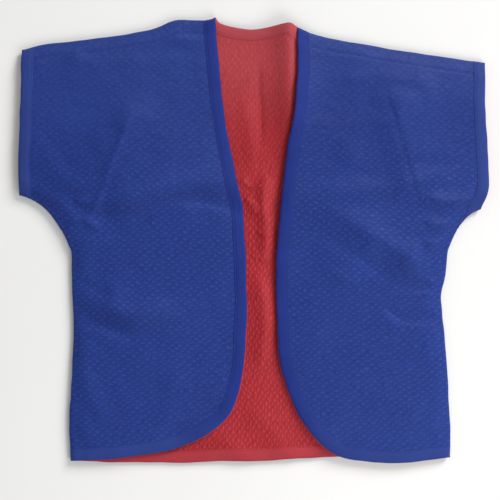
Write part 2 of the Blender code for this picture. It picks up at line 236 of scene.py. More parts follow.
def resampled(path, step):
    """The path with points at even distances, each with its direction."""
    along = np.concatenate([[0], np.cumsum(np.linalg.norm(np.diff(path, axis=0), axis=1))])
    places = np.linspace(0, along[-1], max(2, round(along[-1] / step) + 1))
    points = np.stack([np.interp(places, along, path[:, i]) for i in (0, 1)], axis=1)
    ways = np.gradient(points, axis=0)
    return points, ways / np.linalg.norm(ways, axis=1)[:, None]


def simplified(path, tolerance=0.00015):
    """The path without the points that lie almost on a straight line between the ones that are left."""
    if len(path) < 3:
        return path
    chord = path[-1] - path[0]
    normal = np.array([-chord[1], chord[0]]) / max(np.linalg.norm(chord), 1e-9)
    off = np.abs((path - path[0]) @ normal)
    worst = int(off.argmax())
    if off[worst] < tolerance:
        return path[[0, -1]]
    return np.vstack([simplified(path[: worst + 1], tolerance)[:-1], simplified(path[worst:], tolerance)])


def nearest(points, path):
    """Each point's distance from the path, the path's point nearest to it, how far along the path that is as
    a share of its length, and on which side of the path the point lies: 1 on its left, -1 on its right."""
    lengths = np.linalg.norm(np.diff(path, axis=0), axis=1)
    total = lengths.sum()
    best = np.full(len(points), np.inf)
    foot, share, side = np.zeros_like(points), np.zeros(len(points)), np.ones(len(points))
    done = 0.0
    for a, b, length in zip(path, path[1:], lengths):
        way = (b - a) / length
        from_a = points - a
        t = np.clip(from_a @ way, 0, length)
        apart = from_a - t[:, None] * way
        distance = apart[:, 0] ** 2 + apart[:, 1] ** 2
        closer = distance < best
        best[closer] = distance[closer]
        foot[closer] = points[closer] - apart[closer]
        share[closer] = (done + t[closer]) / total
        side[closer] = np.sign(way[0] * from_a[closer, 1] - way[1] * from_a[closer, 0])
        done += length
    return np.sqrt(best), foot, share, side


def inside(points, outline):
    """Which points lie inside the closed outline."""
    result = np.zeros(len(points), bool)
    x, y = points.T
    for (ax, ay), (bx, by) in zip(outline, np.roll(outline, -1, axis=0)):
        if ay != by:
            crosses = ((ay > y) != (by > y)) & (x < (bx - ax) * (y - ay) / (by - ay) + ax)
            result ^= crosses
    return result


def ramp(value, low, high):
    """0 below low, 1 above high and a smooth step between them."""
    t = np.clip((value - low) / (high - low), 0, 1)
    return t * t * (3 - 2 * t)


# --- heights ---

SIDES = {"right": {k: simplified(smooth(v)) for k, v in RIGHT.items()}}
SIDES["left"] = {k: simplified(smooth(v)) for k, v in LEFT.items()}
NECK, HEM = simplified(smooth(BACK_NECK)), simplified(smooth(BACK_HEM))
CLOSED = ("shoulder", "underarm", "side")


def closed_distance(points, sides=("right", "left")):
    """Distance from the nearest closed seam."""
    return np.min([nearest(points, SIDES[s][k])[0] for s in sides for k in CLOSED], axis=0)


def folds(points, laid):
    """Height of the folds: each is a ridge or a valley along a line, and fades out at the line's ends."""
    total = np.zeros(len(points))
    for line, height, left_width, right_width, ends in laid:
        path = simplified(smooth(line, 0.008))
        reach = 3.2 * max(left_width, right_width)
        close = ((points > path.min(0) - reach) & (points < path.max(0) + reach)).all(1)
        if not close.any():
            continue
        distance, _, share, side = nearest(points[close], path)
        width = np.where(side > 0, left_width, right_width)
        fade = 1.0
        for from_end, stretch in ((share, ends[0]), (1 - share, ends[1])):
            if stretch:
                fade = fade * ramp(from_end, 0, stretch)
        total[close] += height * fade * np.exp(-((distance / width) ** 1.7))
    return total


def waves(points, seed, height, longest, shortest, count=12):
    """Slow, soft unevenness of the cloth: sine waves of several lengths, each in its own direction."""
    rng = np.random.default_rng(seed)
    total = np.zeros(len(points))
    for i in range(count):
        length = longest * (shortest / longest) ** (i / (count - 1))
        turn, phase = rng.uniform(0, math.tau, 2)
        way = np.array([math.cos(turn), math.sin(turn)]) * math.tau / length
        total += length / longest * np.sin(points @ way + phase)
    return height * total / math.sqrt(count)


def drift(points):
    """Each point's place in the weave: the threads don't run quite straight, and no two grains are alike."""
    shift = [waves(points, seed, 0.0030, 0.16, 0.022, 16) for seed in (21, 22)]
    jitter = [waves(points, seed, 0.0016, 0.028, 0.010, 20) for seed in (23, 24)]
    return points + np.stack(shift, axis=1) + np.stack(jitter, axis=1)


def back_lift(points):
    """How far the back stands off the floor."""
    uneven = np.maximum(waves(points, 3, 0.0012, 0.20, 0.06) + 0.0004, 0)
    return folds(points, BACK_FOLDS) + uneven + FLOOR_GAP


def seam_round(closed):
    """0 on a closed seam, 1 from SEAM_ROUND inwards, along a quarter circle."""
    return np.sqrt(1 - (1 - np.clip(closed / SEAM_ROUND, 0, 1)) ** 2)


def front_space(points, side, closed):
    """Space between the back and a front."""
    free = nearest(points, SIDES[side]["front"])[0]
    away = np.maximum(closed - SEAM_FLAT, 0)
    puff = PUFF * (1 - np.exp(-away / PUFF_LENGTH))
    beside_seam = puff * (PUFF_STAYS + PUFF_GOES * np.exp(-away / PUFF_FADE))
    resting = REST_SPACE * ramp(closed, SEAM_FLAT, SEAM_REACH)
    space = resting + (beside_seam - resting) * ramp(free, 0.0, SETTLE)
    seed = 11 if side == "right" else 12
    loose = folds(points, FRONT_FOLDS[side]) + waves(points, seed, 0.0017, 0.16, 0.045)
    loose = loose + creases(points, side)
    beside_edge = EDGE_FOLDS + INNER_FOLDS * ramp(free, 0.0, EDGE_REACH)
    loose = loose * ramp(closed, 0.001, SEAM_REACH) * beside_edge
    raised = space + loose - LEAST_SPACE
    soft_raised = 0.5 * (raised + np.sqrt(raised**2 + (SOFT_VALLEY * space) ** 2))
    return LEAST_SPACE * ramp(closed, 0.003, 0.012) + soft_raised


# The creases that the simulation makes in each front: a grid of heights and its lowest corner
CREASES = {}


def creases(points, part):
    """Height of the simulated creases, as a cubic B-spline over their grid."""
    if part not in CREASES:
        return np.zeros(len(points))
    grid, low = CREASES[part]
    place = (points - low) / SIM_CELL
    base = np.floor(place).astype(int)
    t = place - base
    weights = [(1 - t) ** 3, 3 * t**3 - 6 * t**2 + 4, -3 * t**3 + 3 * t**2 + 3 * t + 1, t**3]
    total = np.zeros(len(points))
    for i, across in enumerate(weights):
        for j, along in enumerate(weights):
            x = np.clip(base[:, 0] + i - 1, 0, grid.shape[0] - 1)
            y = np.clip(base[:, 1] + j - 1, 0, grid.shape[1] - 1)
            total += across[:, 0] * along[:, 1] / 36 * grid[x, y]
    return total


def sandwich(points, part, closed=None):
    """Heights of the underside of the back or a front, and its thickness there."""
    if closed is None:
        closed = closed_distance(points, ("right", "left") if part == "back" else (part,))
    thick = PLY * seam_round(closed)
    top_of_back = back_lift(points) + PLY
    if part == "back":
        return top_of_back - thick, thick
    return top_of_back + front_space(points, part, closed), thick


def heights(points, part, face):
    """Height of one face of the back or a front: 0 is its underside and 1 its top."""
    under, thick = sandwich(points, part)
    return under + face * thick


@functools.cache
def grid_sandwich(part, cell):
    """The sandwich over a panel's grid."""
    points, _, _, closed = sheet_grid(part, cell)
    return sandwich(points, part, closed)


def grains(points, weave, upright):
    """The weave: rice grains in a diamond lattice, from 0 in the hollows to about 1 on the grains."""
    x, y = points.T * math.tau
    long_way, short_way = (y, x) if upright else (x, y)
    cx, cy = np.cos(long_way / weave[0]), np.cos(short_way / weave[1])
    first = np.exp(GRAIN_LONG * (cx - 1) + GRAIN_SHORT * (cy - 1))
    second = np.exp(GRAIN_LONG * (-cx - 1) + GRAIN_SHORT * (-cy - 1))
    return first + second


# --- meshes ---


def make_object(name, vertices, faces, rest, material):
    """A mesh object with each vertex's place in the flat cloth in its UV map, in metres. No cut is quite
    straight, so every piece sways a little in the plane. Nothing reaches below the floor."""
    x, y, z = np.asarray(vertices, float).T
    flat = np.column_stack([x, y])
    sway = [waves(flat, seed, 0.0016, 0.16, 0.030) for seed in (41, 42)]
    vertices = np.column_stack([x + sway[0], y + sway[1], np.maximum(z, 0)])
    mesh = bpy.data.meshes.new(name)
    faces = np.asarray(faces)
    size = faces.shape[1]
    mesh.vertices.add(len(vertices))
    mesh.vertices.foreach_set("co", np.asarray(vertices, np.float32).ravel())
    mesh.loops.add(faces.size)
    mesh.loops.foreach_set("vertex_index", faces.astype(np.int32).ravel())
    mesh.polygons.add(len(faces))
    mesh.polygons.foreach_set("loop_start", np.arange(0, faces.size, size, dtype=np.int32))
    mesh.update(calc_edges=True)
    layer = mesh.uv_layers.new(name="cloth")
    layer.data.foreach_set("uv", np.asarray(rest, np.float32)[faces.ravel()].ravel())
    if material:
        mesh.materials.append(material)
    mesh.shade_smooth()
    mesh.validate()
    obj = bpy.data.objects.new(name, mesh)
    bpy.context.scene.collection.objects.link(obj)
    return obj


def outline_of(part):
    """The closed outline of the back or a front."""
    if part == "back":
        right, left = SIDES["right"], SIDES["left"]
        down = [left[k] for k in ("shoulder", "cuff", "underarm", "side")]
        up = [right[k][::-1] for k in ("side", "underarm", "cuff", "shoulder")]
        runs = [NECK] + down + [HEM[::-1]] + up
    else:
        half = SIDES[part]
        runs = [half[k] for k in ("shoulder", "cuff", "underarm", "side")] + [half["front"][::-1]]
    return np.vstack([run[:-1] for run in runs])


def free_edges(part):
    if part == "back":
        return [NECK, HEM, SIDES["right"]["cuff"], SIDES["left"]["cuff"]]
    return [SIDES[part]["front"], SIDES[part]["cuff"]]


@functools.cache
def sheet_grid(part, cell, inset=BAND_INSET):
    """A grid over a panel: its points, its cells, and its points' distances from the nearest free edge and
    closed seam. Points near a closed seam are moved onto it, and the grid ends under the edging."""
    outline = outline_of(part)
    low = np.floor(outline.min(0) / cell) - 1
    high = np.ceil(outline.max(0) / cell) + 1
    xs, ys = np.arange(low[0], high[0] + 1) * cell, np.arange(low[1], high[1] + 1) * cell
    grid = np.stack(np.meshgrid(xs, ys, indexing="ij"), axis=2)
    points = grid.reshape(-1, 2)
    within = inside(points, outline)
    sides = ("right", "left") if part == "back" else (part,)
    closed, foot = [], []
    for side in sides:
        for name in CLOSED:
            distance, place = nearest(points, SIDES[side][name])[:2]
            closed.append(distance)
            foot.append(place)
    closed, foot = np.array(closed), np.array(foot)
    which = closed.argmin(0)
    closed = closed.min(0)
    foot = foot[which, np.arange(len(points))]
    free = np.min([nearest(points, path)[0] for path in free_edges(part)], axis=0)
    usable = (within | (closed < 0.75 * cell)) & (free > inset)
    snapped = (closed < 0.5 * cell) | ~within
    points = np.where((snapped & usable)[:, None], foot, points)
    closed = np.where(snapped, 0, closed)
    nx, ny = len(xs), len(ys)
    index = np.arange(nx * ny).reshape(nx, ny)
    cells = np.stack([index[:-1, :-1], index[1:, :-1], index[1:, 1:], index[:-1, 1:]], axis=2).reshape(-1, 4)
    cells = cells[usable[cells].all(1)]
    kept = np.unique(cells)
    renumber = np.full(nx * ny, -1)
    renumber[kept] = np.arange(len(kept))
    return points[kept], renumber[cells], free[kept], closed[kept]


def sheet(name, part, face, cell, material, weave=None, upright=False):
    """One ply of the back or of a front. face is 1 for its upper ply, 0 for its lower one, and 0.5 for the
    felt between them, which has no weave."""
    points, cells, free, closed = sheet_grid(part, cell)
    under, thick = grid_sandwich(part, cell)
    z = under + face * thick
    outward = 1 if face > 0.5 else -1
    rest = drift(points)
    if weave:
        fade = ramp(free, BAND - 0.001, BAND + 0.003) * ramp(closed, 0.0005, 0.003)
        fade = fade * (1 - SHOULDER_FLAT * ramp(points[:, 1], SHOULDER_FROM, SHOULDER_TO))
        if face == 1 and part != "back":
            # The shoulder's stitches pull the cloth into a groove. The weave is flat there, and flatter
            # between them and the seam.
            shoulder = nearest(points, SIDES[part]["shoulder"])[0]
            fade = fade * (0.55 + 0.45 * ramp(shoulder, SHOULDER_STITCH - 0.002, SHOULDER_STITCH + 0.003))
            fade = fade * (1 - 0.9 * np.exp(-(((shoulder - SHOULDER_STITCH) / 0.0016) ** 2)))
            z = z - 0.0007 * np.exp(-(((shoulder - SHOULDER_STITCH) / 0.0020) ** 2))
        # No two grains stand equally high.
        uneven = 0.85 + waves(points, 31 if upright else 32, 0.55, 0.045, 0.013, 16)
        grain = weave[2] * (grains(rest, weave, upright) - 0.3)
        z = z + outward * fade * np.clip(uneven, 0.25, 1.5) * grain
    else:
        cells = cells[(closed > FELT_INSET)[cells].all(1)]
    if outward < 0:
        cells = cells[:, ::-1]
    return make_object(name, np.column_stack([points, z]), cells, rest, material)


def ring(points, ways, normals, distance, outline, reach, short):
    """A line beside a free edge, as long as it lies in the panel: it starts and ends on the closed seams, or
    short of them. Where it runs along a seam and doesn't meet it, it goes on for the reach."""
    inner = max(distance, 0.0015)
    line = points + normals * inner
    steps = np.arange(1, 16)[:, None] * RING_STEP
    line = np.vstack([line[0] - ways[0] * steps[::-1], line, line[-1] + ways[-1] * steps])
    within = inside(line, outline)
    middle = len(line) // 2
    before, after = np.flatnonzero(~within[:middle]), np.flatnonzero(~within[middle:])
    spare = len(steps) - round(reach / RING_STEP)
    first = before[-1] + 1 if len(before) else spare
    last = middle + after[0] - 1 if len(after) else len(line) - 1 - spare
    ends = []
    for kept, left in ((first, first - 1), (last, last + 1)):
        share = np.linspace(0, 1, RING_PARTS + 1)[:, None]
        between = line[kept] + (line[left] - line[kept]) * share
        meets = np.flatnonzero(inside(between, outline))[-1] - round(short / RING_STEP * RING_PARTS)
        ends.append(between[max(meets, 0)] if not within[left] else line[kept])
    line = np.vstack([ends[0], line[first : last + 1], ends[1]])
    along = np.concatenate([[0], np.cumsum(np.linalg.norm(np.diff(line, axis=0), axis=1))])
    places = np.linspace(0, along[-1], len(points))
    line = np.stack([np.interp(places, along, line[:, i]) for i in (0, 1)], axis=1)
    return line + normals * (distance - inner)


def strip(name, path, inward, part, profile, material, reach=BAND, peek=0.0, short=0.0, step=0.003):
    """A closed strip along a free edge or a seam. profile lists its outline as distances inwards from the
    path and heights over the middle of the sandwich, in plies and in metres. peek is how far its edge stands
    out between PEEK_FROM and PEEK_TO."""
    points, ways = resampled(path, step)
    normals = np.stack([-ways[:, 1], ways[:, 0]], axis=1) * inward
    count, turns = len(points), len(profile)
    outline = outline_of(part)
    rings = [ring(points, ways, normals, distance, outline, reach, short) for distance, _, _ in profile]
    places = np.vstack(rings)
    edge = np.repeat([distance < 0.002 for distance, _, _ in profile], count)
    share = np.linspace(0, 1, count)
    standing = peek * ramp(share, *PEEK_FROM) * ramp(1 - share, *PEEK_TO)
    places = places - np.tile(normals * standing[:, None], (turns, 1)) * edge[:, None]
    plies, extra = (np.repeat([row[i] for row in profile], count) for i in (1, 2))
    under, thick = sandwich(places, part)
    vertices = np.column_stack([places, under + (0.5 + plies) * thick + extra])
    across = np.repeat([distance + lift for distance, _, lift in profile], count)
    travelled = np.concatenate([[0], np.cumsum(np.linalg.norm(np.diff(points, axis=0), axis=1))])
    rest = np.column_stack([across, np.tile(travelled, turns)])
    faces = []
    for k in range(turns):
        a, b = k * count, (k + 1) % turns * count
        i = np.arange(count - 1)
        faces.append(np.column_stack([a + i, a + i + 1, b + i + 1, b + i]))
    # Both ends are closed with quads between the two halves of the outline.
    for end, flip in ((0, False), (count - 1, True)):
        for k in range(turns // 2 - 1):
            quad = [row * count + end for row in (k, k + 1, turns - 2 - k, turns - 1 - k)]
            faces.append(np.array([quad[::-1] if flip else quad]))
    obj = make_object(name, vertices, np.vstack(faces), rest, material)
    outward_faces(obj)
    return obj


def outward_faces(obj):
    """Turns the faces of a closed mesh outwards."""
    bm = bmesh.new()
    bm.from_mesh(obj.data)
    bmesh.ops.recalc_face_normals(bm, faces=bm.faces)
    bm.to_mesh(obj.data)
    bm.free()


# Outlines of the strips: distance inwards, height in plies over the middle, height in metres
def band_profile(s, width=BAND):
    """The edging of one face. s is 1 for the upper face and -1 for the lower one."""
    profile = [
        (0.0, 0, s * 0.0001), (-0.0002, 0, s * 0.0010), (0.0002, 0.5 * s, -s * 0.0004),
        (0.0012, 0.5 * s, s * 0.0003), (0.005, 0.5 * s, s * 0.0006), (0.010, 0.5 * s, s * 0.0007),
        (STITCH_IN - 0.0012, 0.5 * s, s * 0.0006), (STITCH_IN, 0.5 * s, s * 0.0001),
        (STITCH_IN + 0.0010, 0.5 * s, s * 0.0006), (BAND - 0.0002, 0.5 * s, s * 0.0003),
        (BAND, 0.5 * s, -s * 0.0004), (BAND - 0.0002, 0.5 * s, -s * 0.0012),
        (STITCH_IN, 0.4 * s, -s * 0.0012), (0.012, 0.35 * s, -s * 0.0010),
        (0.008, 0.25 * s, -s * 0.0006), (0.005, 0.15 * s, -s * 0.0002), (0.003, 0.1 * s, 0),
        (0.001, 0, s * 0.0001),
    ]
    return [(distance * width / BAND, plies, extra) for distance, plies, extra in profile]


TAPE_PROFILE = [
    (0.0065, 0, 0.0002), (0.0070, 0, 0.0005), (0.0120, 0, 0.0005), (0.0125, 0, 0.0002),
    (0.0120, 0, -0.0001), (0.0070, 0, -0.0001),
]


def stitches(name, path, inward, part, material, inset, lift, ends, pitch=0.0034):
    """A row of separate stitches on the upper face, each a short bead of thread whose ends sink into the
    cloth. ends is how much of the path is left free at each end."""
    points, ways = resampled(path, pitch)
    start, stop = round(ends[0] / pitch), len(points) - round(ends[1] / pitch)
    points, ways = points[start:stop], ways[start:stop]
    normals = np.stack([-ways[:, 1], ways[:, 0]], axis=1) * inward
    points = points + normals * inset
    outline = outline_of(part)
    margin = np.array([[1, 0], [-1, 0], [0, 1], [0, -1]]) * 0.003
    kept = np.all([inside(points + step, outline) for step in margin], axis=0)
    points, ways, normals = points[kept], ways[kept], normals[kept]
    sides, rings = 6, np.array([-0.46, -0.30, 0.0, 0.30, 0.46]) * pitch
    radii = np.array([0.45, 0.9, 1.0, 0.9, 0.45]) * THREAD
    sink = np.array([-0.0004, -0.0001, 0.0, -0.0001, -0.0004])
    turn = np.arange(sides) * math.tau / sides
    count, faces = len(points), []
    centres = np.vstack([points + ways * along for along in rings])
    levels = heights(centres, part, 1.0).reshape(len(rings), count)
    vertices, rest = [], []
    for centre, level, along, radius, drop in zip(centres.reshape(-1, count, 2), levels, rings, radii, sink):
        z = level + (lift + drop)
        for angle in turn:
            place = centre + normals * (radius * math.cos(angle))
            vertices.append(np.column_stack([place, z + radius * math.sin(angle)]))
            rest.append(np.column_stack([np.full(count, along), np.full(count, angle * 0.001)]))
    i = np.arange(count)
    for r in range(len(rings) - 1):
        for k in range(sides):
            a, b = (r * sides + k) * count + i, (r * sides + (k + 1) % sides) * count + i
            c, d = ((r + 1) * sides + (k + 1) % sides) * count + i, ((r + 1) * sides + k) * count + i
            faces.append(np.column_stack([a, b, c, d]))
    for r in (0, len(rings) - 1):
        for k in (0, 2):
            faces.append(np.column_stack([(r * sides + (k + j) % sides) * count + i for j in range(4)]))
    obj = make_object(name, np.vstack(vertices), np.vstack(faces), np.vstack(rest), material)
    outward_faces(obj)
    return obj


# --- simulation ---


def blurred(grid, width):
    """The grid with each value spread over its neighbours as a Gaussian, whose width is in metres."""
    reach = math.ceil(2.5 * width / SIM_CELL)
    kernel = np.exp(-0.5 * (np.arange(-reach, reach + 1) * SIM_CELL / width) ** 2)
    for _ in (0, 1):
        grid = np.apply_along_axis(lambda row: np.convolve(row, kernel, "same"), 0, grid).T
    return grid


def simulate(part):
    """A front laid on the back as cloth that is a little too wide for its outline, so that it creases."""
    points, cells, free, closed = sheet_grid(part, SIM_CELL, 0.0)
    start = sandwich(points, part, closed)[0]
    below, below_cells, _, _ = sheet_grid("back", 2 * SIM_CELL, 0.0)
    ground = np.column_stack([below, back_lift(below) + PLY])
    back = make_object("sim_back", ground, below_cells, below, None)
    back.modifiers.new("collision", "COLLISION")
    back.collision.thickness_outer = SIM_APART
    cloth = make_object("sim_front", np.column_stack([points, start + SIM_APART]), cells, points, None)
    # The closed seams are held firmly, and the free edges loosely.
    held = cloth.vertex_groups.new(name="held")
    held.add(np.flatnonzero(closed < 0.6 * SIM_CELL).tolist(), 1.0, "REPLACE")
    edge = (closed >= 0.6 * SIM_CELL) & (free < 1.1 * SIM_CELL)
    held.add(np.flatnonzero(edge).tolist(), EDGE_HOLD, "REPLACE")
    modifier = cloth.modifiers.new("cloth", "CLOTH")
    settings = modifier.settings
    settings.vertex_group_mass = "held"
    settings.quality = 7
    settings.mass = 0.25
    settings.tension_stiffness = settings.compression_stiffness = 30
    settings.shear_stiffness = 15
    settings.bending_stiffness = 25
    settings.air_damping = 2
    settings.shrink_min = -SIM_SPARE
    modifier.collision_settings.distance_min = SIM_APART
    modifier.point_cache.frame_start, modifier.point_cache.frame_end = 1, SIM_FRAMES
    scene = bpy.context.scene
    for frame_number in range(1, SIM_FRAMES + 1):
        scene.frame_set(frame_number)
    evaluated = cloth.evaluated_get(bpy.context.evaluated_depsgraph_get())
    found = np.empty(len(points) * 3, np.float32)
    evaluated.data.vertices.foreach_get("co", found)
    moved = found.reshape(-1, 3)[:, 2] - start - SIM_APART
    for obj in (cloth, back):
        mesh = obj.data
        bpy.data.objects.remove(obj)
        bpy.data.meshes.remove(mesh)
    scene.frame_set(1)
    return points, moved


def crease(part):
    """Keeps the simulated creases that are narrower than CREASE_WIDEST."""
    points, moved = simulate(part)
    low = points.min(0) - 2 * SIM_CELL
    index = tuple(np.rint((points - low) / SIM_CELL).astype(int).T)
    shape = [i.max() + 3 for i in index]
    total, weight = np.zeros(shape), np.zeros(shape)
    np.add.at(total, index, moved)
    np.add.at(weight, index, 1.0)
    fine, coarse = (blurred(total, width) / np.maximum(blurred(weight, width), 1e-6)
                    for width in (0.4 * SIM_CELL, CREASE_WIDEST))
    CREASES[part] = (CREASE_SHARE * (fine - coarse), low)


# --- materials ---


class Nodes:
    """A material's nodes, with short calls for the arithmetic between them."""

    def __init__(self, name):
        self.material = bpy.data.materials.new(name)
        self.material.use_nodes = True
        self.tree = self.material.node_tree
        self.shader = self.tree.nodes["Principled BSDF"]

    def add(self, kind, **settings):
        node = self.tree.nodes.new(kind)
        for key, value in settings.items():
            setattr(node, key, value)
        return node

    def link(self, source, target):
        """Sets a number or a colour on the socket itself, and links anything else to it."""
        if isinstance(source, (int, float)):
            target.default_value = source
        elif isinstance(source, tuple):
            target.default_value = (*source, 1)
        else:
            self.tree.links.new(source, target)

    def link_all(self, node, **sources):
        for name, source in sources.items():
            self.link(source, node.inputs[name.replace("_", " ")])

    def math(self, operation, first, second=0.0, third=0.0):
        node = self.add("ShaderNodeMath", operation=operation)
        for socket, value in zip(node.inputs, (first, second, third)):
            self.link(value, socket)
        return node.outputs[0]

    def wave(self, kind, value, length):
        """The sine or the cosine of a place, with the given wavelength."""
        return self.math(kind, self.math("MULTIPLY", value, math.tau / length))

    def total(self, start, *shares):
        """The start plus each value times its share."""
        for value, share in shares:
            start = self.math("MULTIPLY_ADD", value, share, start)
        return start

    def uv(self):
        """The place in the flat cloth, and its two coordinates."""
        parts = self.add("ShaderNodeSeparateXYZ")
        place = self.add("ShaderNodeUVMap", uv_map="cloth").outputs["UV"]
        self.link(place, parts.inputs[0])
        return place, parts.outputs[0], parts.outputs[1]

    def noise(self, place, scale, detail, roughness):
        node = self.add("ShaderNodeTexNoise")
        self.link_all(node, Vector=place, Scale=scale, Detail=detail, Roughness=roughness)
        return node.outputs["Fac"]

    def ramp(self, value, start, end, high):
        """0 up to the start, high from the end on, and a smooth step between them."""
        node = self.add("ShaderNodeMapRange", interpolation_type="SMOOTHSTEP")
        for socket, amount in zip(node.inputs, (value, start, end, 0.0, high)):
            self.link(amount, socket)
        return node.outputs[0]

    def mix(self, amount, first, second):
        node = self.add("ShaderNodeMix", data_type="RGBA")
        self.link(amount, node.inputs["Factor"])
        self.link(first, node.inputs[6])
        self.link(second, node.inputs[7])
        return node.outputs[2]

    def bump(self, height, distance, strength):
        node = self.add("ShaderNodeBump")
        self.link_all(node, Height=height, Distance=distance, Strength=strength)
        self.link_all(self.shader, Normal=node.outputs["Normal"])

    def finish(self, colour, roughness, sheen=0.0, sheen_tint=(1, 1, 1), specular=0.25):
        self.link_all(
            self.shader, Base_Color=colour, Roughness=roughness, Metallic=0.0, Specular_IOR_Level=specular,
            Sheen_Weight=sheen, Sheen_Roughness=0.45, Sheen_Tint=sheen_tint,
        )
        return self.material


def cloth_material(name, hollow, crest, pale, worn, weave, upright, sheen_tint):
    """Rice-grain cloth: grains lighter than the hollows, which are darker partly by dye and wear and partly
    by painted shade, single threads across each grain, uneven dye.
    """
    n = Nodes(name)
    place, u, v = n.uv()
    ways = tuple(zip((v, u) if upright else (u, v), weave))
    cx, cy = (n.wave("COSINE", *way) for way in ways)
    lift = n.math("ADD", n.math("MULTIPLY", cx, GRAIN_LONG), n.math("MULTIPLY", cy, GRAIN_SHORT))
    base = -GRAIN_LONG - GRAIN_SHORT
    first = n.math("EXPONENT", n.math("ADD", lift, base))
    second = n.math("EXPONENT", n.math("SUBTRACT", base, lift))
    flatter = n.ramp(v, SHOULDER_FROM, SHOULDER_TO, SHOULDER_FLAT)
    grain = n.math("MULTIPLY", n.math("ADD", first, second), n.math("SUBTRACT", 1.0, flatter))
    # Painted shade: one diagonal of the grains' lattice is made stronger than the other, standing in for
    # shading by light from another side.
    painted_diagonal_shade = n.math("MULTIPLY", *(n.wave("SINE", *way) for way in ways))
    threads = n.math("MULTIPLY_ADD", n.wave("SINE", ways[0][0], THREAD_PITCH), 0.5, 0.5)
    fuzz = n.noise(place, 900.0, 3.0, 0.6)
    slow = n.noise(place, 9.0, 3.0, 0.5)
    patches = n.noise(place, 140.0, 2.0, 0.5)
    uneven = (fuzz, 0.46), (slow, 0.50), (patches, 0.60)
    # The grains' share darkens the hollows: partly the dye and wear, partly painted shade in the hollows.
    shade = n.total(-0.62, (grain, 0.74), (painted_diagonal_shade, 0.10), (threads, 0.10), *uneven)
    colour = n.mix(shade, hollow, crest)
    # Painted sheen: towards the neck the cloth is mixed towards the pale colour, a haze of reflected light.
    colour = n.mix(n.ramp(v, *PAINTED_SHEEN_Y, worn), colour, pale)
    n.bump(n.total(0.0, (grain, 0.34), (threads, 0.20), (fuzz, 0.26), (patches, 0.90)), 0.0011, 0.80)
    return n.finish(colour, n.total(0.54, (fuzz, 0.14)), 0.04, sheen_tint, 0.28)


def tape_material(name, dark, light, pale, worn, stretch, sheen_tint):
    """Plain woven tape, ribbed across its width, and paler past a stretch of its length by a painted haze of
    glare.
    """
    n = Nodes(name)
    place, across, along = n.uv()
    ribs, cross = n.wave("SINE", along, 0.0011), n.wave("SINE", across, 0.0009)
    weave = n.math("MULTIPLY_ADD", n.math("MULTIPLY", ribs, cross), 0.5, 0.5)
    fuzz = n.noise(place, 1100.0, 3.0, 0.6)
    slow = n.noise(place, 22.0, 3.0, 0.55)
    crumple = n.noise(place, 160.0, 2.0, 0.5)
    colour = n.mix(n.total(-0.38, (weave, 0.35), (fuzz, 0.5), (slow, 0.7)), dark, light)
    # Painted haze of glare: the tape is mixed towards the pale colour past the stretch of its length.
    colour = n.mix(n.ramp(along, *stretch, worn), colour, pale)
    n.bump(n.total(0.0, (weave, 0.7), (fuzz, 0.3), (crumple, 1.8)), 0.0004, 0.6)
    return n.finish(colour, n.total(0.60, (fuzz, 0.12)), 0.05, sheen_tint, 0.24)


def plain_material(name, dark, light, scale, roughness):
    """Thread or felt: one colour, unevenly fibrous."""
    n = Nodes(name)
    place = n.uv()[0]
    fibre = n.noise(place, scale, 4.0, 0.7)
    n.bump(fibre, 0.0002, 0.5)
    return n.finish(n.mix(fibre, dark, light), roughness, 0.1)


def floor_material():
    """Pale paint, very slightly uneven."""
    n = Nodes("floor_paint")
    place = n.add("ShaderNodeTexCoord").outputs["Object"]
    uneven = n.noise(place, 3.0, 3.0, 0.5)
    n.bump(n.noise(place, 220.0, 3.0, 0.6), 0.0002, 0.15)
    return n.finish(n.mix(uneven, (0.77, 0.76, 0.745), (0.81, 0.805, 0.795)), 0.55)


# --- the vest ---


def build_materials():
    made = {}
    cloths = (("blue", BLUE_WEAVE, False, (0.60, 0.70, 1.0)), ("red", RED_WEAVE, True, (1.0, 0.70, 0.70)))
    for colour, weave, upright, tint in cloths:
        cloth, tape, thread = (LOOKS[f"{colour}_{kind}"] for kind in ("cloth", "tape", "thread"))
        made[f"{colour}_cloth"] = cloth_material(f"{colour}_cloth_look", *cloth, weave, upright, tint)
        made[f"{colour}_tape"] = tape_material(f"{colour}_tape_look", *tape, PAINTED_HAZE_ALONG, tint)
        # Edgings with a painted haze from end to end, for the cuffs and the neck.
        made[f"{colour}_worn"] = tape_material(f"{colour}_worn_look", *tape, PAINTED_HAZE_ALL, tint)
        made[f"{colour}_thread"] = plain_material(f"{colour}_thread_look", *thread, 3000.0, 0.55)
    made["seam_tape"] = tape_material("seam_tape_look", *LOOKS["blue_tape"], PAINTED_HAZE_ALL, cloths[0][3])
    made["felt"] = plain_material("felt_look", *LOOKS["felt"], 400.0, 0.95)
    return made


def attach(obj, part, nodes):
    """Puts a piece of the back on its body, and bakes a front's piece where it lies. Hides the CAD nodes it
    stands for.
    """
    if part == "back":
        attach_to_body(obj, "garment")
    else:
        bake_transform(obj)
    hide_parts(*nodes)
    return obj


def build_part(part, looks):
    """The three plies of the back, whose lining is on top, or of a front, whose shell is on top."""
    back = part == "back"
    plan = (
        ("shell", "blue_cloth", 0.0 if back else 1.0, CELL, BLUE_WEAVE, False),
        ("lining", "red_cloth", 1.0 if back else 0.0, CELL, RED_WEAVE, True),
        ("interlining", "felt", 0.5, FELT_CELL, None, False),
    )
    made = {}
    for ply, slot, face, cell, weave, upright in plan:
        nodes = [f"{ply}_back"] if back else [f"{ply}_front_side_{part}", f"{ply}_front_flap_{part}"]
        name = f"back_{ply}" if back else f"{part}_front_{ply}"
        made[ply] = attach(sheet(name, part, face, cell, looks[slot], weave, upright), part, nodes)
    return made


